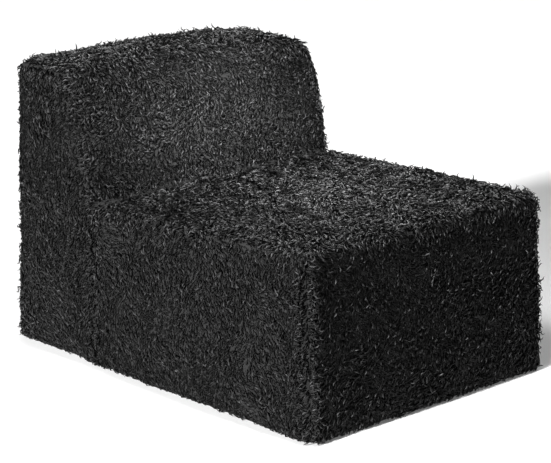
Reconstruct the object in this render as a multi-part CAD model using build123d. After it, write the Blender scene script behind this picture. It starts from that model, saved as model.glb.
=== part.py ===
from build123d import *
import os

# Armless bean bag lounger: a long-pile fur cover, a base cloth, two inner liners full of loose
# fill, the partition between them, and a coil zipper in the cover and in each liner.
# Millimetres, +Z up. X runs across the seat, the sitter faces -Y, and the origin is on the
# floor at the middle of the footprint. "Right" is the sitter's right, at -X.

# Outside of the chair
width = 840.0
depth = 1140.0
height = 750.0
seat_height_crease = 436.0
seat_height_front = 466.0
back_thickness_crease = 340.0
back_thickness_top = 247.0
seat_front_lean = 25.0      # how far back the seat's front wall leans at its top
back_rear_lean = 25.0       # how far forward the rear wall leans at its top
edge_radius = 68.0

# Cover, base and partition
cover_thickness = 22.0      # backing cloth and pile together
base_thickness = 3.0
partition_thickness = 1.0
partition_clearance = 2.0

# Liners and their fill
liner_thickness = 1.0

# Coil zippers
chain_gap = 1.6             # between the two rows of coil, for the slider's post
coil_width = 2.6
coil_thickness = 2.6
coil_rounding = 0.7
tape_width = 16.0
tape_thickness = 1.0
tape_end = 10.0             # tape sewn down past each end of its slot
stop_length = 4.0
slider_length = 12.0
slider_wall = 1.2
slider_corner = 1.6
post_length = 3.0
running_clearance = 0.4     # around everything that the slider rides on
slot_clearance = 2.2        # between the slider's side and the edge of its slot

# The cover zipper's pull, which hangs on a round bar through the slider's bail
pull_length = 28.0
pull_width = 8.0
pull_thickness = 1.6
pull_corner = 2.0
pull_hole_radius = 1.5
bail_width = 2.4
bail_wall = 1.2
bail_clearance = 0.3        # between the bar and the bail's bore

# Where the zippers are
cover_chain_length = 600.0
cover_zip_height = 80.0
seat_liner_chain_length = 420.0
seat_liner_zip_height = 230.0
back_liner_chain_length = 420.0
back_liner_zip_height = 400.0

# Blank care label, sewn in under one end of the cover zipper
label_width = 25.0
label_height = 38.0
label_thickness = 1.2
label_margin = 2.0          # below the zipper's slot
label_from_middle = 260.0

# Worked out from the values above
front = -depth / 2
rear = depth / 2
below_floor = 200.0         # walls are drawn down to here and then cut off at the floor
slider_half = coil_thickness / 2 + running_clearance + slider_wall
slider_width = chain_gap + 2 * (coil_width + running_clearance + slider_wall)
slot_height = slider_width + 2 * slot_clearance
zip_room = tape_thickness / 2 + slider_half + running_clearance
pin_radius = pull_thickness / 2
pin_height = slider_half + pin_radius + running_clearance
bail_radius = pin_radius + bail_clearance + bail_wall
partition_side = partition_thickness / 2 + partition_clearance
bag_inset = cover_thickness + zip_room
bag_half_width = width / 2 - bag_inset
bag_edge_radius = edge_radius - bag_inset      # parallel to the cover's lining


def at_height(lower, upper, z):
    """The point at height z on the line through two (y, z) points."""
    share = (z - lower[1]) / (upper[1] - lower[1])
    return lower[0] + share * (upper[0] - lower[0]), z


def at_depth(first, second, y):
    """The point at depth y on the line through two (y, z) points."""
    share = (y - first[0]) / (second[0] - first[0])
    return y, first[1] + share * (second[1] - first[1])


def inset(outline, distance):
    """An outline's corners after each of its edges has moved inwards by the distance."""
    corners = [Vector(*point) for point in outline]
    moved = []
    for index, corner in enumerate(corners):
        following = corners[(index + 1) % len(corners)]
        before = (corner - corners[index - 1]).normalized().rotate(Axis.Z, 90)
        after = (following - corner).normalized().rotate(Axis.Z, 90)
        new = corner + (before + after) * (distance / (1 + before.dot(after)))
        moved.append((new.X, new.Y))
    return moved


def side_face(outline, x=0.0):
    """An outline of (y, z) points as a face that looks across the chair."""
    across = Plane((x, 0, 0), x_dir=(0, 1, 0), z_dir=(1, 0, 0))
    return across * make_face(Polyline(*outline, close=True))


def prism(outline, half_width):
    return extrude(side_face(outline), amount=half_width, both=True)


def rounded_prism(outline, shrink, radius):
    """A prism as wide as the chair, all its faces moved inwards and then all its edges rounded."""
    block = prism(inset(outline, shrink), width / 2 - shrink)
    return fillet(block.edges(), radius)


# Side view of the chair, sharp cornered, anticlockwise from the rear foot
front_foot = (front, 0.0)
rear_foot = (rear, 0.0)
front_top = (front + seat_front_lean, seat_height_front)
back_top_rear = (rear - back_rear_lean, height)
back_top_front = (rear - back_rear_lean - back_thickness_top, height)
rear_at_crease = at_height(rear_foot, back_top_rear, seat_height_crease)
crease = (rear_at_crease[0] - back_thickness_crease, seat_height_crease)
front_root = at_height(front_foot, front_top, -below_floor)
rear_root = at_height(rear_foot, back_top_rear, -below_floor)
back_root = at_height(crease, back_top_front, -below_floor)
seat_rise = (crease[1] - front_top[1]) / (crease[0] - front_top[0])
seat_tail_y = crease[0] + back_thickness_crease / 2
seat_tail = (seat_tail_y, front_top[1] + seat_rise * (seat_tail_y - front_top[0]))

chair_outline = [rear_root, back_top_rear, back_top_front, crease, front_top, front_root]
seat_outline = [(seat_tail_y, -below_floor), seat_tail, front_top, front_root]
back_outline = [rear_root, back_top_rear, back_top_front, back_root]
above_floor = Pos(0, 0, height) * Box(2 * width, 2 * depth, 2 * height)


def chair_body(shrink):
    """The whole chair as one solid, its walls moved inwards by shrink."""
    radius = edge_radius - shrink
    seat = rounded_prism(seat_outline, shrink, radius)
    back = rounded_prism(back_outline, shrink, radius)
    return (seat + back) & above_floor


def side_region(sign):
    """What belongs to one side of the cover: it meets the other panels along the rounded edge."""
    outside = side_face(inset(chair_outline, -cover_thickness), sign * (width / 2 + cover_thickness))
    inside = side_face(inset(chair_outline, edge_radius), sign * (width / 2 - edge_radius))
    return loft([outside, inside], ruled=True)


def belt_region(first, last):
    """What belongs to the panel along the outline's edges from corner first to corner last."""
    outer = inset(chair_outline, -cover_thickness)[first:last + 1]
    inner = inset(chair_outline, edge_radius)[first:last + 1]
    return prism(outer + inner[::-1], width)


def wall_plane(foot, top, z, side, shrink):
    """A plane on a wall at height z: y up the wall, z out of it, moved inwards by shrink."""
    up = (Vector(0, *top) - Vector(0, *foot)).normalized()
    out = up.cross(Vector(side, 0, 0))
    return Plane(Vector(0, *at_height(foot, top, z)) - out * shrink, x_dir=up.cross(out), z_dir=out)


def slot_cutter(plane, chain_length, end_room):
    """The opening that a zipper is sewn behind."""
    slot_length = chain_length + 2 * (stop_length + end_room)
    return plane.location * Box(slot_length, slot_height, 4 * cover_thickness)


def slider(with_bail):
    """A zipper slider about its own middle, with its nose at +x and its outer face at +z."""
    body = extrude(Rectangle(slider_length, slider_width), amount=slider_half, both=True)
    body = fillet(body.edges().filter_by(Axis.Z), slider_corner)
    if with_bail:
        bail = Rot(90, 0, 0) * Cylinder(bail_radius, bail_width)
        bore = Rot(90, 0, 0) * Cylinder(pin_radius + bail_clearance, bail_width)
        body = body + Pos(0, 0, pin_height) * bail
        body = body - Pos(0, 0, pin_height) * bore
    inner_half = slider_half - slider_wall
    body = body - Box(slider_length, slider_width - 2 * slider_wall, 2 * inner_half)
    body = body - Box(slider_length, slider_width, tape_thickness + 2 * running_clearance)
    post = Box(post_length, chain_gap - 2 * running_clearance, 2 * inner_half)
    return body + Pos(slider_length / 2 - slider_wall - post_length / 2, 0, 0) * post


def pull():
    """The pull about its hinge bar, lying along -x."""
    middle = Pos(-pull_length / 2, 0, 0)
    plate = middle * Box(pull_length, pull_width, pull_thickness)
    plate = fillet(plate.edges().filter_by(Axis.Z).sort_by(Axis.X)[:2], pull_corner)
    window = 2 * (bail_radius + running_clearance)
    plate = plate - Box(window, bail_width + 2 * running_clearance, pull_thickness)
    plate = plate - Pos(-pull_length + pull_width / 2, 0, 0) * Cylinder(pull_hole_radius, pull_thickness)
    return plate + Rot(90, 0, 0) * Cylinder(pin_radius, pull_width)


def zipper(prefix, plane, chain_length, end_room, with_pull=False):
    """A closed zipper on a plane: x along the chain towards its closed end, y across the tapes."""
    pieces = {}
    top_stops = []
    tape_length = chain_length + 2 * (stop_length + end_room + tape_end)
    coil_side = (chain_gap + coil_width) / 2
    tape_side = chain_gap / 2 + coil_width + tape_width / 2
    stop_middle = (chain_length + stop_length) / 2
    stop_thickness = coil_thickness + running_clearance
    top_stop = Box(stop_length, coil_width, stop_thickness)
    bottom_stop = Box(stop_length, chain_gap + 2 * coil_width, stop_thickness)
    for name, sign in (("upper", 1), ("lower", -1)):
        coil = Box(chain_length, coil_width, coil_thickness)
        coil = fillet(coil.edges().filter_by(Axis.X), coil_rounding)
        pieces[f"coil_{name}"] = Pos(0, sign * coil_side, 0) * coil
        tape = Box(tape_length, tape_width, tape_thickness)
        pieces[f"tape_{name}"] = Pos(0, sign * tape_side, 0) * tape
        top_stops.append(Pos(stop_middle, sign * coil_side, 0) * top_stop)
    pieces["top_stops"] = Compound(children=top_stops)
    pieces["bottom_stop"] = Pos(-stop_middle, 0, 0) * bottom_stop
    closed = (chain_length - slider_length) / 2 - running_clearance
    pieces["slider"] = Pos(closed, 0, 0) * slider(with_pull)
    if with_pull:
        pieces["pull"] = Pos(closed, 0, pin_height) * pull()
    return {f"{prefix}_{name}": plane.location * piece for name, piece in pieces.items()}


def bag(prefix, outline, plane, chain_length):
    """A liner with its slot, the fill inside it and its zipper."""
    outer = fillet(prism(outline, bag_half_width).edges(), bag_edge_radius)
    hollow = prism(inset(outline, liner_thickness), bag_half_width - liner_thickness)
    hollow = fillet(hollow.edges(), bag_edge_radius - liner_thickness)
    fill_inset = liner_thickness + zip_room
    fill = prism(inset(outline, fill_inset), bag_half_width - fill_inset)
    pieces = {
        f"{prefix}_liner": outer - hollow - slot_cutter(plane, chain_length, 0.0),
        f"{prefix}_fill": fillet(fill.edges(), bag_edge_radius - fill_inset),
    }
    return pieces | zipper(f"{prefix}_liner_zip", plane, chain_length, 0.0)


# Cover: the wall between the chair's outside and its lining, cut into sewn panels
lining = chair_body(cover_thickness)
shell = chair_body(0.0) - lining
side_regions = {"right": side_region(-1), "left": side_region(1)}
belt = shell - side_regions["right"] - side_regions["left"]
behind_crease = Pos(0, crease[0] + depth, 0) * Box(2 * width, 2 * depth, 4 * height)

nodes = {}
for name, region in side_regions.items():
    nodes[f"seat_side_panel_{name}"] = (shell & region) - behind_crease
    nodes[f"back_side_panel_{name}"] = (shell & region) & behind_crease

# Corners of chair_outline: 0 rear root, 1 and 2 top of the back, 3 crease, 4 front top, 5 front root
nodes["backrest_front_panel"] = belt & belt_region(1, 3)
nodes["seat_top_panel"] = belt & belt_region(3, 4)
nodes["seat_front_panel"] = belt & belt_region(4, 5)

# The rear panel has the zipper between its two halves
cover_zip_inset = cover_thickness + tape_thickness / 2
cover_plane = wall_plane(rear_foot, back_top_rear, cover_zip_height, 1, cover_zip_inset)
pull_room = pull_length - slider_length / 2
cover_slot = slot_cutter(cover_plane, cover_chain_length, pull_room)
rear_panel = belt & belt_region(0, 1)
below_zip = Pos(0, 0, cover_zip_height - height) * Box(2 * width, 2 * depth, 2 * height)
nodes["rear_panel_upper"] = rear_panel - below_zip - cover_slot

label = cover_plane.location * Pos(
    label_from_middle,
    -slot_height / 2 - label_margin - label_height / 2,
    cover_thickness + (tape_thickness - label_thickness) / 2,
) * Box(label_width, label_height, label_thickness)
nodes["care_label"] = label
nodes["rear_panel_lower"] = (rear_panel & below_zip) - cover_slot - label
nodes |= zipper("cover_zip", cover_plane, cover_chain_length, pull_room, with_pull=True)

# Base cloth inside the walls, and the partition between the two compartments
nodes["base_panel"] = lining & Box(2 * width, 2 * depth, 2 * base_thickness)
bag_floor = base_thickness + partition_clearance
partition_plate = Box(2 * width, partition_thickness, 2 * height)
partition_plate = Pos(0, crease[0], bag_floor + height) * partition_plate
nodes["compartment_divider"] = chair_body(cover_thickness + partition_clearance) & partition_plate

# Liners: each keeps one distance from the cover's lining, with room for the cover's slider
room = inset(chair_outline, bag_inset)
seat_bag_outline = [
    (crease[0] - partition_side, bag_floor),
    at_depth(room[4], room[3], crease[0] - partition_side),
    room[4],
    at_height(room[5], room[4], bag_floor),
]
back_bag_outline = [
    at_height(room[0], room[1], bag_floor),
    room[1],
    room[2],
    at_depth(room[2], room[3], crease[0] + partition_side),
    (crease[0] + partition_side, bag_floor),
]
liner_zip_inset = bag_inset + liner_thickness + tape_thickness / 2
seat_zip_plane = wall_plane(front_foot, front_top, seat_liner_zip_height, -1, liner_zip_inset)
back_zip_plane = wall_plane(rear_foot, back_top_rear, back_liner_zip_height, 1, liner_zip_inset)
nodes |= bag("seat", seat_bag_outline, seat_zip_plane, seat_liner_chain_length)
nodes |= bag("back", back_bag_outline, back_zip_plane, back_liner_chain_length)

os.makedirs("parts", exist_ok=True)
for name, piece in nodes.items():
    export_step(piece, f"parts/{name}.step")
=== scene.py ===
import math

import bmesh
import bpy
from mathutils import Matrix, Vector, noise


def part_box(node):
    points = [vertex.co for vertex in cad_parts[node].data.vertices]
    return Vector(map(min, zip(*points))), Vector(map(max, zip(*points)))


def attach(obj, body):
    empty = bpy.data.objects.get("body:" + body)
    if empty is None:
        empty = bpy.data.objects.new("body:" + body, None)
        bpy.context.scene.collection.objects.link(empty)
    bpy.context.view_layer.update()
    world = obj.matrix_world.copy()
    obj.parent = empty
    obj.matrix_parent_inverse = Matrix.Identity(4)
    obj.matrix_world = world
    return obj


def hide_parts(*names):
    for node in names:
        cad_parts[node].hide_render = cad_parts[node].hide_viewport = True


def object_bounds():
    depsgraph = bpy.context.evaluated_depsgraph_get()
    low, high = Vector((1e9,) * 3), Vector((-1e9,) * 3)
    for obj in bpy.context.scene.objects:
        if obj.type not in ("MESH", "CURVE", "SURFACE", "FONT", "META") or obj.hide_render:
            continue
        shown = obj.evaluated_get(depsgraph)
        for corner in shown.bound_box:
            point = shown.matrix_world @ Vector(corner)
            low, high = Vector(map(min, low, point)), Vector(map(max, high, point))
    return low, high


# Armless bean bag lounger. Metres; X runs across the seat, the sitter faces -Y, "right" is -X.
# The cover is nine panels of backing cloth, swollen between their seams by a cloth simulation,
# and a pile of separate locks stands on each of them.

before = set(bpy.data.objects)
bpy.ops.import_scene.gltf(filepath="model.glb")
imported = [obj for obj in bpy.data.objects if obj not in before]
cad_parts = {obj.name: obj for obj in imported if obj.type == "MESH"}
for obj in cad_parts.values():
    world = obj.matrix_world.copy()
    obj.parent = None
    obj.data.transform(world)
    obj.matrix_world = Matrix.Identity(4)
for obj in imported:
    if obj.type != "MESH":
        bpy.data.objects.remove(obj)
bpy.context.view_layer.update()
cad_low, cad_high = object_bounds()


# ---- The chair's side view, from the frame ----
HALF_WIDTH = cad_high[0]
FRONT = cad_low[1]
REAR = cad_high[1]
HEIGHT = cad_high[2]
CREASE_Y = sum(corner[1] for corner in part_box("compartment_divider")) / 2
CREASE_Z = 0.436
SEAT_FRONT_Z = 0.466
SEAT_FRONT_LEAN = 0.025
BACK_REAR_LEAN = 0.025
BACK_TOP_THICKNESS = 0.247
ZIP_Z = sum(corner[2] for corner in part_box("cover_zip_slider")) / 2
SLOT_HALF_HEIGHT = 0.0078
SLOT_HALF_LENGTH = 0.326
SLOT_REACH = 0.05            # the cover is worked on as a slot up to here above and below it

# ---- Cloth and pile ----
BACKING_DEPTH = 0.0145       # from the tips of the pile down to the backing cloth, at the seams
BACKING_THICKNESS = 0.0015
CANVAS_THICKNESS = 0.002
FACING_THICKNESS = 0.0007
BAG_THICKNESS = 0.0008
PARTITION_THICKNESS = 0.0006
LABEL_THICKNESS = 0.0004
CLOTH_RADIUS = 0.025         # how round the stuffed edges are
CLOTH_GRID = 0.014
BODY_FLOOR = 0.003           # underside of the base cloth
BASE_TOP = BODY_FLOOR + 0.004
BASE_EDGE = 0.03             # below this the walls turn into the base
BASE_HELD = 0.05             # this far in from the walls the base is held flat
BASE_SWELL = 0.07            # the walls' swelling runs out under the base over this far
SWELL_STEPS = 20
SWELL_PRESSURE = 4.0
SWELL_REACH = 0.16           # how far from its seams a panel is fully swollen
SIDE_BULGE = 0.009           # how far whole walls bow out at mid-length, with their edges
END_BULGE = 0.006
SEAM_DEPTH = 0.007
SEAM_WIDTH = 0.011
LUMP_HEIGHT = 0.004
LUMPS_PER_METRE = 6.0
PARTING_WIDTH = 0.016        # how far the pile lies away from a seam
SWIRLS_PER_METRE = 9.0
CURLS_PER_METRE = 30.0
LOCK_SPACING = 0.0038
LOCK_SHAPES = 9
LOCK_WIDTHS = (1.0, 1.25, 0.95, 0.0)
LOCK_STEPS = len(LOCK_WIDTHS)
BEND = 0.46                  # radians that a lock bends over at each of its steps
SWAY = 0.45                  # how far a lock waves to its side, as a share of a step
SWAY_TURN = 2.4              # radians of that wave in a step
LOCK_LENGTH = 0.023
LOCK_WIDTH = 0.0032
SEED = 7

# Each panel: the faces of the chair that it covers, how far its middle swells out past its
# seams, and how far its pile lies over (0 stands up, larger lies flatter)
PANELS = {
    "seat_top_panel": (("seat_top",), 0.016, 1.1),
    "seat_front_panel": (("front",), 0.014, 1.25),
    "seat_side_panel_right": (("seat_side_right",), 0.017, 1.25),
    "seat_side_panel_left": (("seat_side_left",), 0.017, 1.25),
    "back_side_panel_right": (("back_side_right",), 0.020, 1.25),
    "back_side_panel_left": (("back_side_left",), 0.018, 1.25),
    "backrest_front_panel": (("back_front", "back_top"), 0.017, 0.9),
    "rear_panel_upper": (("rear_upper",), 0.014, 1.25),
    "rear_panel_lower": (("rear_lower",), 0.0, 1.25),
}
# How hard the seam along each edge of the sides pulls in, and how wide it parts the pile
EDGE_PULL = {"front": 1.0, "seat_top": 0.2, "back_front": 0.2, "back_top": 0.2, "rear": 0.2}
SIDE_SEAM_PULL = 0.6
CROSS_SEAM_PULL = 0.2
CREASE_PULL = 1.2
BASE_FACE = "base"


# ---- Small helpers ----
def colour(text):
    """An sRGB hex colour as linear RGBA."""
    parts = [int(text[i:i + 2], 16) / 255 for i in (1, 3, 5)]
    return [c / 12.92 if c <= 0.04045 else ((c + 0.055) / 1.055) ** 2.4 for c in parts] + [1.0]


def add(tree, kind, links=None, **settings):
    """A node with its settings and inputs; links maps an input to a socket or a plain value."""
    node = tree.nodes.new(kind)
    for name, value in settings.items():
        setattr(node, name, value)
    for name, value in (links or {}).items():
        socket = node.inputs[name]
        if isinstance(value, bpy.types.NodeSocket):
            tree.links.new(value, socket)
        else:
            socket.default_value = value
    return node


def new_object(name, mesh):
    made = bpy.data.objects.new(name, mesh)
    bpy.context.scene.collection.objects.link(made)
    return made


def mesh_from(bm, name, smooth=False):
    if smooth:
        for face in bm.faces:
            face.smooth = True
    mesh = bpy.data.meshes.new(name)
    bm.to_mesh(mesh)
    bm.free()
    return mesh


def evaluated_mesh(obj):
    """What an object's modifiers make of it, as a mesh of its own."""
    graph = bpy.context.evaluated_depsgraph_get()
    source = obj.evaluated_get(graph)
    return bpy.data.meshes.new_from_object(source, preserve_all_data_layers=True, depsgraph=graph)


def thicken(obj, thickness, offset):
    """Gives a sheet its thickness: inwards at -1, both ways at 0, outwards at 1."""
    wall = obj.modifiers.new("thickness", "SOLIDIFY")
    wall.thickness = thickness
    wall.offset = offset


def drop_layers(mesh, *names):
    for name in names:
        if name in mesh.attributes:
            mesh.attributes.remove(mesh.attributes[name])


def smooth_step(value, low, high):
    share = min(max((value - low) / (high - low), 0.0), 1.0)
    return share * share * (3 - 2 * share)


# ---- The chair's outer planes, in the side view ----
rear_top = Vector((REAR - BACK_REAR_LEAN, HEIGHT))
back_top_front = Vector((rear_top[0] - BACK_TOP_THICKNESS, HEIGHT))
crease = Vector((CREASE_Y, CREASE_Z))
front_top = Vector((FRONT + SEAT_FRONT_LEAN, SEAT_FRONT_Z))


def plane_through(first, second):
    """The line from first to second as (outward normal, offset); the chair is on its left."""
    along = (second - first).normalized()
    outward = Vector((along[1], -along[0]))
    return outward, outward.dot(first)


PLANES = {
    "rear": plane_through(Vector((REAR, 0)), rear_top),
    "back_top": plane_through(rear_top, back_top_front),
    "back_front": plane_through(back_top_front, crease),
    "seat_top": plane_through(crease, front_top),
    "front": plane_through(front_top, Vector((FRONT, 0))),
    "floor": (Vector((0, -1)), -BODY_FLOOR),
    "inside": (Vector((1, 0)), CREASE_Y + BACK_TOP_THICKNESS / 2),
}


FIXED_PLANES = ("floor", "inside", "seat_divider", "back_divider")


def meet(planes, first, second, inset):
    """Where two planes cross, once those of the cover's outside have moved in by the inset."""
    (way, offset), (other_way, other_offset) = planes[first], planes[second]
    offset -= 0 if first in FIXED_PLANES else inset
    other_offset -= 0 if second in FIXED_PLANES else inset
    size = way.cross(other_way)
    return ((offset * other_way[1] - other_offset * way[1]) / size,
            (way[0] * other_offset - other_way[0] * offset) / size)


def rounded_block(planes, names, inset, radius):
    """A closed block across the chair between the named planes, with its edges rounded."""
    half = HALF_WIDTH - inset
    bm = bmesh.new()
    corners = [meet(planes, name, names[(i + 1) % len(names)], inset) for i, name in enumerate(names)]
    face = bm.faces.new([bm.verts.new((-half, y, z)) for y, z in corners])
    grown = bmesh.ops.extrude_face_region(bm, geom=[face], use_keep_orig=True)
    moved = [item for item in grown["geom"] if isinstance(item, bmesh.types.BMVert)]
    bmesh.ops.translate(bm, vec=(2 * half, 0, 0), verts=moved)
    bmesh.ops.recalc_face_normals(bm, faces=bm.faces)
    floor_z = -planes["floor"][1]
    edges = [e for e in bm.edges if max(v.co.z for v in e.verts) > floor_z + 0.001]
    bmesh.ops.bevel(bm, geom=edges, offset=radius, offset_type="OFFSET", affect="EDGES",
                    segments=6, profile=0.5, material=-1, clamp_overlap=True)
    return bm


def evened(mesh, grid):
    """The same closed shape as an even mesh of small squares."""
    rough = new_object("rough", mesh)
    remesh = rough.modifiers.new("even", "REMESH")
    remesh.mode = "VOXEL"
    remesh.voxel_size = grid
    even = evaluated_mesh(rough)
    bpy.data.objects.remove(rough)
    return even


def body_mesh():
    """The stuffed cover before it swells: seat and back as one even, closed mesh."""
    seat = ("front", "floor", "inside", "seat_top")
    back = ("rear", "back_top", "back_front", "floor")
    bm = rounded_block(PLANES, seat, BACKING_DEPTH, CLOTH_RADIUS)
    bm.from_mesh(mesh_from(rounded_block(PLANES, back, BACKING_DEPTH, CLOTH_RADIUS), "back"))
    return evened(mesh_from(bm, "body"), CLOTH_GRID)


# ---- Which face of the chair a point is on, and how far it is from the seams ----
def depths(point):
    """How far a point is outside each plane of the side view, less than 0 inside it."""
    flat = Vector((point[1], point[2]))
    return {name: plane[0].dot(flat) - plane[1] for name, plane in PLANES.items()}


def belt_face(out):
    """Which face of the belt round the chair, front to rear over the top, these depths lie on."""
    seat = max(("front", "seat_top"), key=out.get)
    back = max(("back_front", "back_top", "rear"), key=out.get)
    return seat if max(out[seat], out["inside"]) < out[back] else back


def face_at(point):
    out = depths(point)
    belt = belt_face(out)
    if point[2] < BASE_TOP:
        return BASE_FACE
    if abs(point[0]) - HALF_WIDTH > out[belt]:
        side = "right" if point[0] < 0 else "left"
        return f"{'seat' if point[1] < CREASE_Y else 'back'}_side_{side}"
    if belt == "rear":
        return "rear_upper" if point[2] > ZIP_Z else "rear_lower"
    return belt


def nearest_seam(point):
    """How far a point of the surface is from the nearest seam of the cover, and that seam's pull."""
    out = depths(point)
    belt = belt_face(out)
    side = abs(point[0]) - HALF_WIDTH
    near = [(abs(side - out[belt]), EDGE_PULL[belt])]
    if side > out[belt]:
        if point[2] < CREASE_Z:
            near.append((abs(point[1] - CREASE_Y) * math.sqrt(2), SIDE_SEAM_PULL))
    elif belt in ("front", "seat_top"):
        near.append((abs(out["front"] - out["seat_top"]), CROSS_SEAM_PULL))
        near.append((abs(out["seat_top"] - out["back_front"]), CREASE_PULL))
    else:
        near.append((abs(out["rear"] - out["back_top"]), CROSS_SEAM_PULL))
        if belt == "back_front":
            near.append((abs(out["seat_top"] - out["back_front"]), CREASE_PULL))
        if belt == "rear":
            near.append((abs(point[2] - ZIP_Z) * math.sqrt(2), CROSS_SEAM_PULL))
    distance, pull = min(near)
    return distance / math.sqrt(2), pull


# ---- Swelling ----
def wall_at(point):
    """The panel whose swelling a point shares; a point of the base takes its nearest wall's."""
    face = face_at(Vector((point[0], point[1], max(point[2], BASE_TOP + BODY_FLOOR))))
    return next(name for name, (covered, _, _) in PANELS.items() if face in covered)


def wall_distance(point):
    """How far a point of the base is in from the nearest wall."""
    out = depths(point)
    nearest = max(abs(point[0]) - HALF_WIDTH, out["front"], out["rear"])
    return max(0.0, -nearest - BACKING_DEPTH)


def simulated(mesh, seams):
    """Where air pressure pushes each point of the cover while its seams and its base are held."""
    body = new_object("swelling", mesh.copy())
    held = body.vertex_groups.new(name="held")
    for vertex, seam in zip(body.data.vertices, seams):
        on_floor = vertex.co.z < BASE_TOP and wall_distance(vertex.co) > BASE_HELD
        if seam < CLOTH_GRID * 0.75 or on_floor:
            held.add([vertex.index], 1.0, "REPLACE")
    cloth = body.modifiers.new("air", "CLOTH")
    cloth.settings.quality = 5
    cloth.settings.bending_stiffness = 2.0
    cloth.settings.vertex_group_mass = "held"
    cloth.settings.use_pressure = True
    cloth.settings.uniform_pressure_force = SWELL_PRESSURE
    cloth.settings.effector_weights.gravity = 0.0
    cloth.point_cache.frame_end = SWELL_STEPS
    for step in range(1, SWELL_STEPS + 1):
        bpy.context.scene.frame_set(step)
    swollen = evaluated_mesh(body)
    moves = [after.co - before.co for after, before in zip(swollen.vertices, mesh.vertices)]
    bpy.data.objects.remove(body)
    bpy.context.scene.frame_set(1)
    return moves


def swelling(mesh):
    """How far each point swells, with every panel's middle brought to its own crown."""
    seams = [nearest_seam(v.co)[0] for v in mesh.vertices]
    walls = [wall_at(v.co) for v in mesh.vertices]
    moves = simulated(mesh, seams)
    most = {name: 1e-6 for name in PANELS}
    for wall, move, vertex in zip(walls, moves, mesh.vertices):
        if vertex.co.z > BASE_EDGE:
            most[wall] = max(most[wall], move.length)
    scaled = []
    for wall, move, vertex in zip(walls, moves, mesh.vertices):
        share = PANELS[wall][1] / most[wall]
        move = move * min(share, PANELS[wall][1] / max(move.length, 1e-6))
        if vertex.co.z < BASE_EDGE:
            move.z = 0.0
            move *= 1 - smooth_step(wall_distance(vertex.co), 0.0, BASE_SWELL)
        scaled.append(move)
    return scaled


# How the stuffed back has settled at its left end, in metres
LEFT_LEAN, LEFT_DROP = 0.006, 0.012
CORNER_IN, CORNER_DOWN = 0.018, 0.010
LEFT_OUT = 0.008


def slump(point):
    """How the top of the back has settled: it leans a little down to the left, where the side
    swells out and the corner is rounder."""
    tilt = smooth_step(point[2], CREASE_Z, HEIGHT)
    drop = LEFT_LEAN * point[0] / HALF_WIDTH + LEFT_DROP * smooth_step(point[0], 0.15, HALF_WIDTH)
    left = smooth_step(point[0], 0.24, HALF_WIDTH)
    corner = left * smooth_step(point[2], HEIGHT - 0.11, HEIGHT)
    out = left * smooth_step(point[2], CREASE_Z - 0.03, CREASE_Z + 0.124)
    return Vector((LEFT_OUT * out - CORNER_IN * corner, -LEFT_OUT * out,
                   -drop * tilt - CORNER_DOWN * corner))


def settled(point, normal, move):
    """A point's whole shift: its swelling, the lie of the loose fill and the pull of the seams."""
    seam, pull = nearest_seam(point)
    low = smooth_step(point[2], BODY_FLOOR, 0.04)
    zipped = point[1] > REAR - 0.08 and abs(point[2] - ZIP_Z) < SLOT_REACH
    lumps = noise.noise(point * LUMPS_PER_METRE) * LUMP_HEIGHT * smooth_step(seam, 0.0, 0.08)
    groove = 0.0 if zipped else pull * SEAM_DEPTH * math.exp(-((seam / SEAM_WIDTH) ** 2))
    bow = Vector((math.copysign(SIDE_BULGE, point[0]) * math.cos(math.pi / 2 * point[1] / REAR),
                  math.copysign(END_BULGE, point[1]) * math.cos(math.pi / 2 * point[0] / HALF_WIDTH), 0))
    bow.x *= abs(point[0]) / HALF_WIDTH
    bow.y *= abs(point[1]) / REAR * (0.0 if zipped else 1.0)
    return move + bow + slump(point) + normal * (lumps - groove) * low


# ---- Combing ----
def away_from_seam(point, normal):
    """The way along the surface that leads away from the nearest seam."""
    across = normal.orthogonal().normalized()
    along = normal.cross(across)
    step = 0.004
    here = nearest_seam(point)[0]
    way = Vector()
    for direction in (across, along):
        way += direction * (nearest_seam(point + direction * step)[0] - here)
    return way.normalized() if way.length > 1e-7 else across


def combed(point, normal, face):
    """The way the pile lies: down the walls, wandering in swirls, and away from the seams."""
    if face in ("seat_top", "back_top"):
        fall = Vector((0.5 * point[0] / HALF_WIDTH, -0.5, 0.0))
        wander = 1.5
    elif face == "back_front":
        fall, wander = Vector((0.0, 0.0, -1.0)), 0.9
    else:
        fall, wander = Vector((0.0, 0.0, -1.0)), 0.6
    broad = noise.noise(point * SWIRLS_PER_METRE)
    fine = noise.noise(point * CURLS_PER_METRE + Vector((5.0, 1.0, 2.0)))
    turn = wander * math.pi * (broad + 0.7 * fine)
    fall = Matrix.Rotation(turn, 3, normal) @ fall
    fall -= normal * fall.dot(normal)
    fall = fall.normalized() if fall.length > 1e-4 else normal.orthogonal().normalized()
    seam, pull = nearest_seam(point)
    parting = min(pull, 1.0) * math.exp(-((seam / PARTING_WIDTH) ** 2))
    return fall.lerp(away_from_seam(point, normal), parting)


def cropped(least, distance, near, far):
    """A share of the pile's length that grows from the least at near to the whole at far."""
    return least + (1 - least) * smooth_step(distance, near, far)


def pile_length(point, face):
    """The length of the pile at a point as a share of its full length: longer on top, patchy, and
    cropped in the crease, under the label and beside the zipper."""
    length = 1.15 if face in ("seat_top", "back_top") else 1.0
    length *= 1.0 + 0.25 * noise.noise(point * 14.0 + Vector((9.0, 4.0, 7.0)))
    seam, pull = nearest_seam(point)
    if pull == CREASE_PULL:
        bare = 0.014 if face == "back_front" else 0.006
        length *= cropped(0.15, seam, bare, bare + 0.024)
    if face == "rear_lower":
        low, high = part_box("care_label")
        beside = max(low.x - point[0], point[0] - high.x, low.z - point[2])
        length *= cropped(0.5, beside, 0.0, 0.02)
    if face.startswith("rear") and abs(point[0]) < SLOT_HALF_LENGTH + 0.02:
        length *= cropped(0.12, abs(point[2] - ZIP_Z) - SLOT_HALF_HEIGHT, 0.004, 0.045)
    return length


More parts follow.
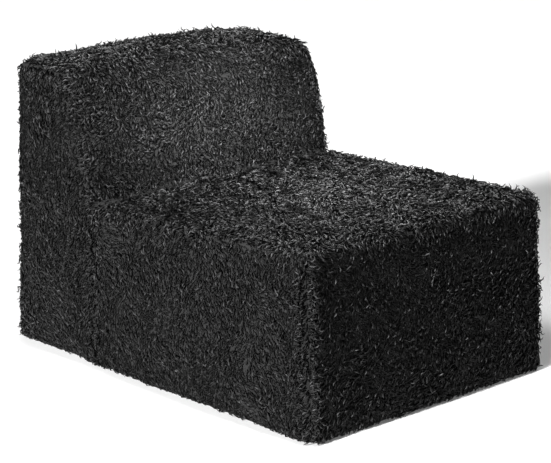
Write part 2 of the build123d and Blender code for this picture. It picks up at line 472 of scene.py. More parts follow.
# ---- Cutting the cover into its panels ----
def outside_plane(face):
    if "side" in face:
        return Vector((-1 if face.endswith("right") else 1, 0, 0)), HALF_WIDTH
    outward, offset = PLANES["rear" if face.startswith("rear") else face]
    return Vector((0, outward[0], outward[1])), offset


def seam_plane(first, second):
    """The plane in which two neighbouring faces of the chair meet."""
    if first.startswith("rear") and second.startswith("rear"):
        return Vector((0, 0, 1)), ZIP_Z
    if "side" in first and "side" in second:
        return Vector((0, 1, 0)), CREASE_Y
    (first_way, first_offset), (second_way, second_offset) = map(outside_plane, (first, second))
    return first_way - second_way, first_offset - second_offset


def cut_at(bm, faces, normal, offset):
    if not faces:
        return []
    geom = set(faces)
    for face in faces:
        geom.update(face.edges)
        geom.update(face.verts)
    point = normal * (offset / normal.length_squared)
    made = bmesh.ops.bisect_plane(bm, geom=list(geom), dist=1e-6, plane_co=point, plane_no=normal)
    return [item for item in made["geom_cut"] if isinstance(item, bmesh.types.BMVert)]


def cut_at_seams(bm):
    """Gives the mesh edges along every seam, so that the panels part cleanly there."""
    label = {vertex: face_at(vertex.co) for vertex in bm.verts}
    pairs = set()
    for face in bm.faces:
        seen = sorted({label[v] for v in face.verts} - {BASE_FACE})
        pairs.update((a, b) for i, a in enumerate(seen) for b in seen[i + 1:])
    for first, second in sorted(pairs):
        near = [f for f in bm.faces if {first, second} <= {label[v] for v in f.verts}]
        for vertex in cut_at(bm, near, *seam_plane(first, second)):
            label[vertex] = face_at(vertex.co)


def open_slot(bm, near, height, half_length):
    """Cuts the slot over a zipper at the given height out of the faces that near() gives."""
    along, up = Vector((1, 0, 0)), Vector((0, 0, 1))
    for normal, offset in ((up, height - SLOT_HALF_HEIGHT), (up, height + SLOT_HALF_HEIGHT),
                           (along, -half_length), (along, half_length)):
        cut_at(bm, near(), normal, offset)
    slot = [f for f in near() if abs(f.calc_center_median().z - height) < SLOT_HALF_HEIGHT
            and abs(f.calc_center_median().x) < half_length]
    bmesh.ops.delete(bm, geom=slot, context="FACES")


def open_cover(bm):
    """Opens the slot over the cover's zipper."""
    def near():
        return [f for f in bm.faces if f.calc_center_median().y > REAR - 0.06
                and abs(f.calc_center_median().z - ZIP_Z) < SLOT_REACH]
    open_slot(bm, near, ZIP_Z, SLOT_HALF_LENGTH)


def cover_skin():
    """The whole backing as one mesh, cut at its seams and swollen; `rest` keeps where points were."""
    even = body_mesh()
    moves = swelling(even)
    bm = bmesh.new()
    bm.from_mesh(even)
    move_layer = bm.verts.layers.float_vector.new("move")
    bm.verts.ensure_lookup_table()
    for vertex, move in zip(bm.verts, moves):
        vertex[move_layer] = move
    cut_at_seams(bm)
    open_cover(bm)
    rest_layer = bm.verts.layers.float_vector.new("rest")
    for vertex in bm.verts:
        vertex[rest_layer] = vertex.co
    bm.normal_update()
    shifts = {v: settled(v.co, v.normal, v[move_layer]) for v in bm.verts}
    for vertex, shift in shifts.items():
        vertex.co += shift
    return mesh_from(bm, "cover")


def only_faces(skin, name, wanted):
    """A copy of the cover with just the faces whose middle lies on one of the wanted faces."""
    bm = bmesh.new()
    bm.from_mesh(skin)
    rest_layer = bm.verts.layers.float_vector["rest"]
    others = []
    for face in bm.faces:
        middle = sum((v[rest_layer] for v in face.verts), Vector()) / len(face.verts)
        if face_at(middle) not in wanted:
            others.append(face)
    bmesh.ops.delete(bm, geom=others, context="FACES")
    return mesh_from(bm, name)


# ---- The pile ----
DENSEST = 60000.0            # locks on a square metre, where the spacing allows them
LEAN_RANGE = (0.7, 1.7)      # how far a lock leans its combed way, as a share
STRAY = 0.26                 # how far it strays from that, each way
TURN = 0.5                   # and how far it turns on itself
LENGTH_RANGE = (0.72, 1.22)
WIDTH_RANGE = (0.75, 1.3)
FLOOR_GAP = 0.0006           # no lock hangs lower than this
MAP_WIDTH = 0.008            # how wide a lock is on its map, whose X is its tone


def lock_mesh(shape):
    """One lock of pile a metre long: three-sided, tapering to a point, bent over towards +X."""
    spin = noise.noise(Vector((shape * 3.7, 0.5, 0.0))) * 1.2
    wave = noise.noise(Vector((0.5, shape * 2.9, 0.0))) * 0.9
    bm = bmesh.new()
    along = bm.verts.layers.float.new("along")
    side = bm.verts.layers.float.new("side")
    made = bmesh.ops.create_circle(bm, cap_ends=True, segments=3, radius=LOCK_WIDTH / 2 / LOCK_LENGTH)
    for number, vertex in enumerate(made["verts"]):
        vertex[side] = number / 2
    face = made["verts"][0].link_faces[0]
    place, lean = Vector((0, 0, 0)), 0.0
    for step in range(1, LOCK_STEPS):
        if step == 1:
            grown = bmesh.ops.extrude_face_region(bm, geom=[face], use_keep_orig=True)
            face = next(item for item in grown["geom"] if isinstance(item, bmesh.types.BMFace))
        else:
            face = bmesh.ops.extrude_discrete_faces(bm, faces=[face])["faces"][0]
        lean += BEND
        sway = (SWAY + wave) * math.sin(SWAY_TURN * step + spin)
        move = Vector((math.sin(lean), sway, math.cos(lean))) / (LOCK_STEPS - 1)
        bmesh.ops.translate(bm, verts=face.verts, vec=move)
        place += move
        squeeze = max(LOCK_WIDTHS[step], 1e-4) / LOCK_WIDTHS[step - 1]
        bmesh.ops.rotate(bm, verts=face.verts, cent=place, matrix=Matrix.Rotation(BEND, 3, "Y"))
        bmesh.ops.scale(bm, verts=face.verts, vec=(squeeze,) * 3, space=Matrix.Translation(-place))
        for vertex in face.verts:
            vertex[along] = step / (LOCK_STEPS - 1)
    bmesh.ops.remove_doubles(bm, verts=face.verts, dist=0.001)
    bmesh.ops.recalc_face_normals(bm, faces=bm.faces)
    return mesh_from(bm, f"lock_{shape}", smooth=True)


def pile_tree(shapes):
    """Plants the locks on a panel and says in each lock's own map where it is dark and light."""
    tree = bpy.data.node_groups.new("pile", "GeometryNodeTree")
    tree.interface.new_socket("Geometry", in_out="INPUT", socket_type="NodeSocketGeometry")
    tree.interface.new_socket("Geometry", in_out="OUTPUT", socket_type="NodeSocketGeometry")
    panel = add(tree, "NodeGroupInput").outputs[0]
    spots = add(tree, "GeometryNodeDistributePointsOnFaces",
                {"Mesh": panel, "Distance Min": LOCK_SPACING, "Density Max": DENSEST, "Seed": SEED},
                distribute_method="POISSON")
    comb = add(tree, "GeometryNodeInputNamedAttribute", {"Name": "comb"}, data_type="FLOAT_VECTOR")
    length = add(tree, "GeometryNodeInputNamedAttribute", {"Name": "pile"}, data_type="FLOAT")
    lean = add(tree, "FunctionNodeRandomValue", {2: LEAN_RANGE[0], 3: LEAN_RANGE[1], "Seed": SEED + 1},
               data_type="FLOAT")
    laid = add(tree, "ShaderNodeVectorMath", {0: comb.outputs["Attribute"], "Scale": lean.outputs[1]},
               operation="SCALE")
    stray = add(tree, "FunctionNodeRandomValue",
                {0: (-STRAY,) * 3, 1: (STRAY,) * 3, "Seed": SEED + 2},
                data_type="FLOAT_VECTOR")
    stand = add(tree, "ShaderNodeVectorMath", {0: spots.outputs["Normal"], 1: laid.outputs[0]},
                operation="ADD")
    stand = add(tree, "ShaderNodeVectorMath", {0: stand.outputs[0], 1: stray.outputs[0]},
                operation="ADD")
    turn = add(tree, "FunctionNodeRandomValue",
               {0: (-TURN,) * 3, 1: (TURN,) * 3, "Seed": SEED + 3},
               data_type="FLOAT_VECTOR")
    facing = add(tree, "ShaderNodeVectorMath", {0: comb.outputs["Attribute"], 1: turn.outputs[0]},
                 operation="ADD")
    turned = add(tree, "FunctionNodeAxesToRotation",
                 {"Primary Axis": stand.outputs[0], "Secondary Axis": facing.outputs[0]},
                 primary_axis="Z", secondary_axis="X")
    long = add(tree, "FunctionNodeRandomValue",
               {2: LENGTH_RANGE[0], 3: LENGTH_RANGE[1], "Seed": SEED + 4}, data_type="FLOAT")
    long = add(tree, "ShaderNodeMath", {0: long.outputs[1], 1: length.outputs["Attribute"]},
               operation="MULTIPLY")
    wide = add(tree, "FunctionNodeRandomValue",
               {2: WIDTH_RANGE[0], 3: WIDTH_RANGE[1], "Seed": SEED + 5}, data_type="FLOAT")
    size = add(tree, "ShaderNodeCombineXYZ",
               {"X": wide.outputs[1], "Y": wide.outputs[1], "Z": long.outputs[0]})
    size = add(tree, "ShaderNodeVectorMath", {0: size.outputs[0], "Scale": LOCK_LENGTH},
               operation="SCALE")
    locks = add(tree, "GeometryNodeCollectionInfo",
                {"Collection": shapes, "Separate Children": True, "Reset Children": True})
    pick = add(tree, "FunctionNodeRandomValue", {4: 0, 5: LOCK_SHAPES - 1, "Seed": SEED + 6},
               data_type="INT")
    planted = add(tree, "GeometryNodeInstanceOnPoints",
                  {"Points": spots.outputs["Points"], "Instance": locks.outputs[0],
                   "Pick Instance": True, "Instance Index": pick.outputs[2],
                   "Rotation": turned.outputs[0], "Scale": size.outputs[0]})
    tone = add(tree, "FunctionNodeRandomValue", {2: 0.0, 3: 0.99, "Seed": SEED + 7}, data_type="FLOAT")
    toned = add(tree, "GeometryNodeStoreNamedAttribute",
                {"Geometry": planted.outputs[0], "Name": "tone", "Value": tone.outputs[1]},
                data_type="FLOAT", domain="INSTANCE")
    real = add(tree, "GeometryNodeRealizeInstances", {"Geometry": toned.outputs[0]})
    where = add(tree, "GeometryNodeInputPosition")
    apart = add(tree, "ShaderNodeSeparateXYZ", {0: where.outputs[0]})
    above = add(tree, "ShaderNodeMath", {0: apart.outputs["Z"], 1: FLOOR_GAP}, operation="MAXIMUM")
    lifted = add(tree, "ShaderNodeCombineXYZ",
                 {"X": apart.outputs["X"], "Y": apart.outputs["Y"], "Z": above.outputs[0]})
    kept = add(tree, "GeometryNodeSetPosition",
               {"Geometry": real.outputs[0], "Position": lifted.outputs[0]})
    names = {name: add(tree, "GeometryNodeInputNamedAttribute", {"Name": name}, data_type="FLOAT")
             for name in ("tone", "along", "side")}
    width = add(tree, "ShaderNodeMath", {0: names["side"].outputs["Attribute"], 1: MAP_WIDTH,
                                         2: names["tone"].outputs["Attribute"]},
                operation="MULTIPLY_ADD")
    spot = add(tree, "ShaderNodeCombineXYZ",
               {"X": width.outputs[0], "Y": names["along"].outputs["Attribute"]})
    mapped = add(tree, "GeometryNodeStoreNamedAttribute",
                 {"Geometry": kept.outputs[0], "Name": "OFBake", "Value": spot.outputs[0]},
                 data_type="FLOAT2", domain="CORNER")
    add(tree, "NodeGroupOutput", {0: mapped.outputs[0]})
    return tree


def grown_pile(backing, name, tree, keep=None):
    """The pile of one panel, or of the part of it where keep(x) is true, as plain mesh."""
    mesh = backing.copy()
    if keep:
        bm = bmesh.new()
        bm.from_mesh(mesh)
        rest = [f for f in bm.faces if not keep(f.calc_center_median().x)]
        bmesh.ops.delete(bm, geom=rest, context="FACES")
        bm.to_mesh(mesh)
        bm.free()
    bare = new_object(name + "_bare", mesh)
    bare.modifiers.new("pile", "NODES").node_group = tree
    grown = evaluated_mesh(bare)
    bpy.data.objects.remove(bare)
    drop_layers(grown, "comb", "pile", "rest", "move", "tone", "along", "side")
    grown.materials.clear()
    return new_object(name, grown)


# ---- Finishes ----
def finish(name, **settings):
    """A new material: its node tree and its Principled shader, with plain values set on it."""
    material = bpy.data.materials.new(name)
    material.use_nodes = True
    shader = material.node_tree.nodes["Principled BSDF"]
    for key, value in settings.items():
        shader.inputs[key.replace("_", " ")].default_value = value
    return material, material.node_tree, shader


def join(tree, output, target):
    tree.links.new(output, target)


def grade(ramp, first, last):
    """Sets the two end colours of a colour ramp."""
    ramp.color_ramp.elements[0].color = colour(first)
    ramp.color_ramp.elements[1].color = colour(last)


def pile_finish():
    """Acrylic faux fur, tufted and tumbled. Each lock has its own tone, and painted shade darkens
    it to black towards its root, where the locks shade one another. Glossy along its length."""
    material, tree, shader = finish("acrylic_pile_tumbled", Roughness=0.4, Specular_IOR_Level=0.15)
    spot = add(tree, "ShaderNodeUVMap", uv_map="OFBake")
    apart = add(tree, "ShaderNodeSeparateXYZ", {0: spot.outputs[0]})
    shade = add(tree, "ShaderNodeValToRGB", {0: apart.outputs["X"]})
    grade(shade, "#0C0C0C", "#717172")
    middle = shade.color_ramp.elements.new(0.6)
    middle.color = colour("#3C3C3C")
    # painted shade: each lock runs from black at its root, where the locks shade one another, to its own
    # tone at its tip
    depth = add(tree, "ShaderNodeValToRGB", {0: apart.outputs["Y"]})
    grade(depth, "#000000", "#FFFFFF")
    depth.color_ramp.elements[0].position = 0.38
    both = add(tree, "ShaderNodeMix", {0: 1.0, 6: shade.outputs[0], 7: depth.outputs[0]},
               data_type="RGBA", blend_type="MULTIPLY")
    join(tree, both.outputs[2], shader.inputs["Base Color"])
    return material


def woven_finish(name, dark, light, pitch, rough, twill=0.0, **settings):
    """Woven cloth: warp and weft ridges at the given pitch, turned by twill, over broad soft
    changes of shade. It reads as fine ribs."""
    material, tree, shader = finish(name, Roughness=rough, **settings)
    place = add(tree, "ShaderNodeTexCoord")
    turned = add(tree, "ShaderNodeMapping", {"Vector": place.outputs["Object"],
                                             "Rotation": (twill, twill, 0.0)})
    scale = 1 / pitch / 20 * math.pi
    ribs = [add(tree, "ShaderNodeTexWave", {"Vector": turned.outputs[0], "Scale": scale,
                                            "Distortion": 0.6}, bands_direction=way)
            for way in ("X", "Z")]
    weave = add(tree, "ShaderNodeMath", {0: ribs[0].outputs["Fac"], 1: ribs[1].outputs["Fac"]},
                operation="MULTIPLY")
    patches = add(tree, "ShaderNodeTexNoise", {"Vector": place.outputs["Object"], "Scale": 14.0,
                                               "Detail": 4.0})
    mixed = add(tree, "ShaderNodeMath", {0: weave.outputs[0], 1: 0.6, 2: 0.0}, operation="MULTIPLY_ADD")
    mixed = add(tree, "ShaderNodeMath", {0: patches.outputs["Fac"], 1: 0.5, 2: mixed.outputs[0]},
                operation="MULTIPLY_ADD")
    shade = add(tree, "ShaderNodeValToRGB", {0: mixed.outputs[0]})
    grade(shade, dark, light)
    join(tree, shade.outputs[0], shader.inputs["Base Color"])
    bump = add(tree, "ShaderNodeBump", {"Height": weave.outputs[0], "Strength": 0.6,
                                        "Distance": pitch / 3})
    join(tree, bump.outputs[0], shader.inputs["Normal"])
    return material


def metal_finish():
    """Zinc alloy, die cast, tumbled and black-nickel plated: smoky grey metal with fine scuffs."""
    material, tree, shader = finish("zinc_alloy_black_nickel", Metallic=1.0)
    place = add(tree, "ShaderNodeTexCoord")
    scuffs = add(tree, "ShaderNodeTexNoise", {"Vector": place.outputs["Object"], "Scale": 900.0,
                                              "Detail": 6.0})
    rough = add(tree, "ShaderNodeMapRange", {"Value": scuffs.outputs["Fac"], "To Min": 0.22,
                                             "To Max": 0.5})
    join(tree, rough.outputs[0], shader.inputs["Roughness"])
    shade = add(tree, "ShaderNodeValToRGB", {0: scuffs.outputs["Fac"]})
    grade(shade, "#4C4C50", "#8A8A90")
    join(tree, shade.outputs[0], shader.inputs["Base Color"])
    bump = add(tree, "ShaderNodeBump", {"Height": scuffs.outputs["Fac"], "Strength": 0.25,
                                        "Distance": 0.00008})
    join(tree, bump.outputs[0], shader.inputs["Normal"])
    return material


def coil_finish():
    """Nylon monofilament, wound and heat set: black, smooth, with a soft plastic shine."""
    material, tree, shader = finish("nylon_monofilament_wound", Roughness=0.34)
    place = add(tree, "ShaderNodeTexCoord")
    drawn = add(tree, "ShaderNodeTexNoise", {"Vector": place.outputs["Object"], "Scale": 400.0})
    shade = add(tree, "ShaderNodeValToRGB", {0: drawn.outputs["Fac"]})
    grade(shade, "#0E0E0F", "#242426")
    join(tree, shade.outputs[0], shader.inputs["Base Color"])
    return material


def bead_finish():
    """Expanded polystyrene beads, steam blown: white, matt, closely packed 4 mm balls, with painted
    shade between them.
    """
    material, tree, shader = finish("polystyrene_beads_blown", Roughness=0.75)
    place = add(tree, "ShaderNodeTexCoord")
    balls = add(tree, "ShaderNodeTexVoronoi", {"Vector": place.outputs["Object"], "Scale": 250.0})
    # painted shade: white at each ball's middle, grey where the balls meet
    shade = add(tree, "ShaderNodeValToRGB", {0: balls.outputs["Distance"]})
    grade(shade, "#F4F4F1", "#A9A9A4")
    join(tree, shade.outputs[0], shader.inputs["Base Color"])
    bump = add(tree, "ShaderNodeBump", {"Height": balls.outputs["Distance"], "Strength": 1.0,
                                        "Distance": 0.002})
    bump.invert = True
    join(tree, bump.outputs[0], shader.inputs["Normal"])
    return material


# ---- Building the cover ----
pile_black = pile_finish()
# Knitted polyester backing of the fur, dyed black, matt
knit = woven_finish("polyester_backing_knitted", "#090909", "#1B1B1B", 0.0012, 0.92, 0.6)
shapes = bpy.data.collections.new("lock_shapes")
for shape in range(LOCK_SHAPES):
    shapes.objects.link(bpy.data.objects.new(f"lock_{shape}", lock_mesh(shape)))
tree = pile_tree(shapes)
skin = cover_skin()
HALVES = {"right": lambda x: x < 0, "left": lambda x: x >= 0}
WIDE_PANELS = ("seat_top_panel", "backrest_front_panel", "rear_panel_upper")

for name, (covered, crown, lie) in PANELS.items():
    backing = only_faces(skin, name.replace("panel", "backing"), covered)
    backing.attributes.new("comb", "FLOAT_VECTOR", "POINT")
    backing.attributes.new("pile", "FLOAT", "POINT")
    comb, pile, rest = (backing.attributes[layer] for layer in ("comb", "pile", "rest"))
    for vertex in backing.vertices:
        point = rest.data[vertex.index].vector.copy()
        face = face_at(point)
        if face not in covered:
            face = covered[0]
        comb.data[vertex.index].vector = combed(point, vertex.normal, face) * lie
        pile.data[vertex.index].value = pile_length(point, face)
    if name in WIDE_PANELS:
        piles = [grown_pile(backing, f"{name.replace('panel', 'pile')}_{side}", tree, keep)
                 for side, keep in HALVES.items()]
    else:
        piles = [grown_pile(backing, name.replace("panel", "pile"), tree)]
    cloth = new_object(name.replace("panel", "backing"), backing)
    drop_layers(cloth.data, "comb", "pile", "rest", "move")
    thicken(cloth, BACKING_THICKNESS, -1)
    cloth.data.materials.append(knit)
    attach(cloth, "chair")
    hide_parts(name)
    for made in piles:
        made.data.materials.append(pile_black)
        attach(made, "chair")


# ---- Base cloth and the facing round the zipper's slot ----
# Polyester canvas, plain woven and dyed
canvas = woven_finish("polyester_canvas_woven", "#0C0C0D", "#2B2B2C", 0.0011, 0.85)
# Polyester zipper tape, herringbone woven: finer, closer ribs that run aslant
tape_cloth = woven_finish("zipper_tape_herringbone", "#0D0D0E", "#262628", 0.0008, 0.8, 0.785)

base = new_object("base_cloth", only_faces(skin, "base_cloth", (BASE_FACE,)))
drop_layers(base.data, "rest", "move")
thicken(base, CANVAS_THICKNESS, 1)
base.data.materials.append(canvas)
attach(base, "chair")
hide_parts("base_panel")


def slot_facing():
    """The strip that lines the slot's edge, from the backing in to the zipper tape."""
    bm = bmesh.new()
    bm.from_mesh(skin)
    rim = [e for e in bm.edges if e.is_boundary and e.verts[0].co.y > REAR - 0.08]
    keep = {v for e in rim for v in e.verts}
    bmesh.ops.delete(bm, geom=[v for v in bm.verts if v not in keep], context="VERTS")
    bmesh.ops.delete(bm, geom=list(bm.faces), context="FACES_ONLY")
    tape_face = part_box("cover_zip_tape_lower")[1].y
    grown = bmesh.ops.extrude_edge_only(bm, edges=bm.edges)
    for item in grown["geom"]:
        if isinstance(item, bmesh.types.BMVert):
            item.co.y = tape_face + 0.0002
    bmesh.ops.recalc_face_normals(bm, faces=bm.faces)
    return mesh_from(bm, "slot_facing")


facing = new_object("cover_zip_facing", slot_facing())
drop_layers(facing.data, "rest", "move")
thicken(facing, FACING_THICKNESS, 0)
facing.data.materials.append(tape_cloth)
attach(facing, "chair")


# ---- The two bags of loose fill ----
BAG_GRID = 0.012
BAG_RADIUS = 0.042
FILL_RADIUS = 0.038
BAG_CROWN = 0.006
FILL_CROWN = 0.004
BAG_CREASES = 0.0012
BAG_CREASES_PER_METRE = 22.0
FACING = 0.7                 # a face with this much of its normal along an axis faces that way


def bag_mesh(name, names, bag_box, radius, crown, zip_box=None):
    """A stuffed bag between the named planes, crowned between its edges; flat along its zipper,
    on the floor and where the two bags press on the partition."""
    low, high = bag_box
    planes = dict(PLANES)
    planes["floor"] = (Vector((0, -1)), -low.z)
    planes["seat_divider"] = (Vector((1, 0)), high.y)
    planes["back_divider"] = (Vector((-1, 0)), -low.y)
    inset = HALF_WIDTH - high.x
    even = evened(mesh_from(rounded_block(planes, names, inset, radius), name), BAG_GRID)
    bm = bmesh.new()
    bm.from_mesh(even)
    bm.normal_update()
    zip_z = (zip_box[0].z + zip_box[1].z) / 2 if zip_box else 0.0
    shifts = {}
    for vertex in bm.verts:
        place, upright = vertex.co, abs(vertex.normal.y) > FACING
        flat = Vector((place.y, place.z))
        out = [abs(place.x) - high.x]
        for key in names:
            way, offset = planes[key]
            out.append(way.dot(flat) - offset + (0 if key in FIXED_PLANES else inset))
        out.sort()
        swell_share = smooth_step(out[-1] - out[-2], 0.0, SWELL_REACH)
        if zip_box and upright:
            swell_share *= smooth_step(abs(place.z - zip_z), 0.02, 0.09)
        if abs(vertex.normal.z) > FACING and place.z < low.z + 0.02:
            swell_share = 0.0
        if upright and abs(place.y - CREASE_Y) < 0.01:
            swell_share = 0.0
        creases = BAG_CREASES * noise.noise(place * BAG_CREASES_PER_METRE) * swell_share
        shifts[vertex] = vertex.normal * (crown * swell_share + creases) + slump(place)
    for vertex, shift in shifts.items():
        vertex.co += shift

    def near_zip():
        return [f for f in bm.faces if abs(f.calc_center_median().z - zip_z) < 0.04
                and abs(f.normal.y) > FACING and abs(f.calc_center_median().y - CREASE_Y) > 0.1]
    if zip_box:
        open_slot(bm, near_zip, zip_z, zip_box[1].x + 0.002)
    return mesh_from(bm, name, smooth=True)


# Polyester taffeta, plain woven and calendered: grey, close and slightly shiny
taffeta = woven_finish("polyester_taffeta_calendered", "#4A4A4C", "#77777A", 0.0009, 0.5)
beads = bead_finish()
SEAT_BAG = ("front", "floor", "seat_divider", "seat_top")
BACK_BAG = ("rear", "back_top", "back_front", "back_divider", "floor")
for side, names in (("seat", SEAT_BAG), ("back", BACK_BAG)):
    zip_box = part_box(f"{side}_liner_zip_coil_lower")[0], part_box(f"{side}_liner_zip_coil_upper")[1]
    bag = new_object(f"{side}_bag", bag_mesh(f"{side}_bag", names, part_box(f"{side}_liner"),
                                             BAG_RADIUS, BAG_CROWN, zip_box))
    thicken(bag, BAG_THICKNESS, -1)
    bag.data.materials.append(taffeta)
    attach(bag, "chair")
    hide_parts(f"{side}_liner")
    fill = new_object(f"{side}_beads", bag_mesh(f"{side}_beads", names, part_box(f"{side}_fill"),
                                                FILL_RADIUS, FILL_CROWN))
    fill.data.materials.append(beads)
    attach(fill, "chair")
    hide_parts(f"{side}_fill")

# ---- Partition between the two bags ----
RIPPLE = 0.0007
low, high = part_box("compartment_divider")
partition_size = (high.x - low.x, high.z - low.z)


def partition_mesh(low, high, size):
    """A sheet across the chair, drawn tight, with faint slanting ripples between its edges."""
    bm = bmesh.new()
    bmesh.ops.create_grid(bm, x_segments=48, y_segments=26, size=0.5)
    for vertex in bm.verts:
        x, z = vertex.co.x * size[0], low.z + (vertex.co.y + 0.5) * size[1]
        ripple = RIPPLE * math.sin(38 * x + 9 * z) * math.sin(math.pi * (vertex.co.y + 0.5))
        vertex.co = Vector((x, (low.y + high.y) / 2 + ripple, z))
    return mesh_from(bm, "partition_cloth", smooth=True)


partition = new_object("partition_cloth", partition_mesh(low, high, partition_size))
thicken(partition, PARTITION_THICKNESS, 0)
partition.data.materials.append(taffeta)
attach(partition, "chair")
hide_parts("compartment_divider")


# ---- Zippers ----
COIL_PITCH = 0.0019
WIRE_RADIUS = 0.0004
CORE_RADIUS = 0.0004


def coil_mesh(node, shift):
    """Half a zipper's chain: loops of monofilament round a core cord, inside the node's box."""
    low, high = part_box(node)
    radius = (min(high.y - low.y, high.z - low.z)) / 2 - WIRE_RADIUS
    middle = (low + high) / 2
    bm = bmesh.new()
    start = Vector((low.x + 2 * WIRE_RADIUS + shift, middle.y, middle.z))
    turned = Matrix.Translation(start + Vector((0, 0, radius))) @ Matrix.Rotation(math.pi / 2, 4, "X")
    ring = bmesh.ops.create_circle(bm, segments=5, radius=WIRE_RADIUS, matrix=turned)
    edges = list({e for v in ring["verts"] for e in v.link_edges})
    bmesh.ops.spin(bm, geom=ring["verts"] + edges, cent=start, axis=(1, 0, 0), angle=2 * math.pi,
                   steps=7, use_merge=True)
    bmesh.ops.remove_doubles(bm, verts=bm.verts, dist=1e-6)
    bmesh.ops.recalc_face_normals(bm, faces=bm.faces)
    loop = new_object("loop", mesh_from(bm, "loop"))
    row = loop.modifiers.new("row", "ARRAY")
    row.use_relative_offset = False
    row.use_constant_offset = True
    row.constant_offset_displace = (COIL_PITCH, 0, 0)
    row.count = int((high.x - low.x - 0.0025) / COIL_PITCH)
    rows = evaluated_mesh(loop)
    bpy.data.objects.remove(loop)
    bm = bmesh.new()
    bm.from_mesh(rows)
    bmesh.ops.create_cone(bm, cap_ends=True, segments=8, radius1=CORE_RADIUS, radius2=CORE_RADIUS,
                          depth=high.x - low.x,
                          matrix=Matrix.Translation(middle) @ Matrix.Rotation(math.pi / 2, 4, "Y"))
    return mesh_from(bm, node, smooth=True)


nylon = coil_finish()
metal = metal_finish()
for chain in ("cover_zip", "seat_liner_zip", "back_liner_zip"):
    for row, shift in (("upper", 0.0), ("lower", COIL_PITCH / 2)):
        node = f"{chain}_coil_{row}"
        coil = new_object(f"{chain}_loops_{row}", coil_mesh(node, shift))
        coil.data.materials.append(nylon)
        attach(coil, "chair")
        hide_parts(node)
for name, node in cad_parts.items():
    if "_tape_" in name:
        node.data.materials.clear()
        node.data.materials.append(tape_cloth)
    elif name.endswith(("slider", "stops", "stop", "pull")):
        node.data.materials.clear()
        node.data.materials.append(metal)

# ---- Care label ----
LABEL_CURL = 0.0016
low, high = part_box("care_label")


def label_mesh(low, high):
    """A strip on one smooth curve: out of the slot's lower edge, over the pile and down."""
    edge = ZIP_Z - SLOT_HALF_HEIGHT
    run = [Vector((REAR - 0.018, edge - 0.0008)), Vector((REAR + 0.001, edge + 0.003)),
           Vector((REAR + 0.011, edge - 0.004)), Vector((REAR + 0.010, low.z + 0.002))]
    bm = bmesh.new()
    bmesh.ops.create_grid(bm, x_segments=8, y_segments=18, size=0.5)
    for vertex in bm.verts:
        t = 0.5 - vertex.co.y
        weights = ((1 - t) ** 3, 3 * t * (1 - t) ** 2, 3 * t * t * (1 - t), t ** 3)
        y, z = sum((share * point for share, point in zip(weights, run)), Vector((0, 0)))
        curl = LABEL_CURL * (2 * vertex.co.x) ** 2 * t
        vertex.co = Vector(((low.x + high.x) / 2 + vertex.co.x * (high.x - low.x), y - curl, z))
    return mesh_from(bm, "care_label_satin", smooth=True)


label = new_object("care_label_satin", label_mesh(low, high))
thicken(label, LABEL_THICKNESS, 0)
# Polyester satin, woven and heat cut: off-white, smooth, with a soft shine
satin = woven_finish("polyester_satin_label", "#D9D7D2", "#F4F3F0", 0.0006, 0.35, 0.2)
label.data.materials.append(satin)
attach(label, "chair")
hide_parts("care_label")

# ---- Camera, light and floor ----
def camera():
    turn, rise, distance = math.radians(-43.1), math.radians(16.1), 6.0
    back = Vector((math.sin(turn) * math.cos(rise), -math.cos(turn) * math.cos(rise), math.sin(rise)))
    made = bpy.data.objects.new("camera", bpy.data.cameras.new("camera"))
    bpy.context.scene.collection.objects.link(made)
    across = Vector((math.cos(turn), math.sin(turn), 0))
    up = back.cross(across)
    target = Vector((-0.109, -0.085, 0.339)) + across * 0.021 + up * 0.0203
    made.location = target + back * distance
    made.rotation_mode = "QUATERNION"
    made.rotation_quaternion = back.to_track_quat("Z", "Y")
    made.data.sensor_width = 36.0
    made.data.lens = 158.2
    made.data.clip_end = 60.0
    bpy.context.scene.camera = made


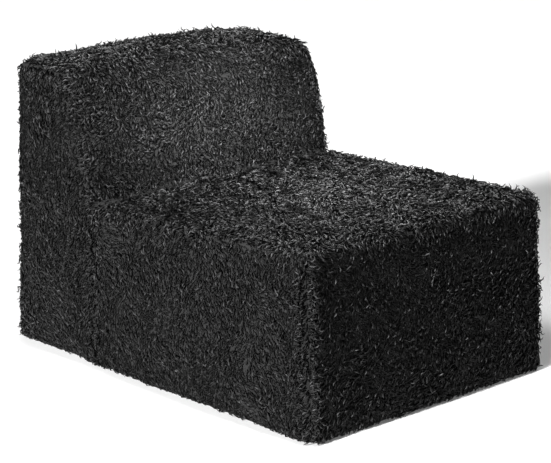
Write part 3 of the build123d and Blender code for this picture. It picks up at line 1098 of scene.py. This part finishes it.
def softbox(name, place, target, size, power, spread):
    light = bpy.data.lights.new(name, "AREA")
    light.spread = math.radians(spread)
    light.shape = "RECTANGLE"
    light.size, light.size_y = size
    light.energy = power
    made = bpy.data.objects.new(name, light)
    bpy.context.scene.collection.objects.link(made)
    made.location = place
    made.rotation_mode = "QUATERNION"
    made.rotation_quaternion = (Vector(place) - Vector(target)).to_track_quat("Z", "Y")
    made.visible_camera = False


def sunlight(name, towards, strength, softness):
    light = bpy.data.lights.new(name, "SUN")
    light.energy = strength
    light.angle = math.radians(softness)
    made = bpy.data.objects.new(name, light)
    bpy.context.scene.collection.objects.link(made)
    made.rotation_mode = "QUATERNION"
    made.rotation_quaternion = Vector(towards).to_track_quat("Z", "Y")


def white_room():
    """A dim white world, which the camera sees as plain white."""
    world = bpy.data.worlds.new("studio")
    world.use_nodes = True
    tree = world.node_tree
    sky = tree.nodes["Background"]
    sky.inputs["Color"].default_value = (1, 1, 1, 1)
    sky.inputs["Strength"].default_value = 0.07
    backdrop = add(tree, "ShaderNodeBackground", {"Color": (1, 1, 1, 1), "Strength": 1.0})
    ray = add(tree, "ShaderNodeLightPath")
    both = add(tree, "ShaderNodeMixShader", {0: ray.outputs["Is Camera Ray"], 1: sky.outputs[0],
                                             2: backdrop.outputs[0]})
    join(tree, both.outputs[0], tree.nodes["World Output"].inputs["Surface"])
    bpy.context.scene.world = world
    bpy.context.scene.view_settings.view_transform = "Standard"


def floor_paint():
    """Matt white paint, rolled: no gloss, and a faint glow that stands for the room's light."""
    material, tree, shader = finish("matt_floor", Roughness=0.9)
    shader.inputs["Base Color"].default_value = colour("#F4F4F4")
    shader.inputs["Emission Color"].default_value = (1, 1, 1, 1)
    shader.inputs["Emission Strength"].default_value = 0.12
    return material


camera()
softbox("overhead", (-0.3, -0.60, 1.5), (0.0, 0.2, 0.5), (0.4, 0.4), 26, 180)
softbox("backrest", (-0.15, -0.78, 0.74), (0.03, 0.17, 0.60), (0.3, 0.15), 4, 50)
sunlight("high_side", (-0.80, -0.06, 0.30), 7.4, 6)
sunlight("behind", (0.62, 0.70, 0.10), 2.6, 40)
white_room()
bm = bmesh.new()
bmesh.ops.create_grid(bm, x_segments=1, y_segments=1, size=20)
floor = new_object("floor", mesh_from(bm, "floor"))
floor.data.materials.append(floor_paint())
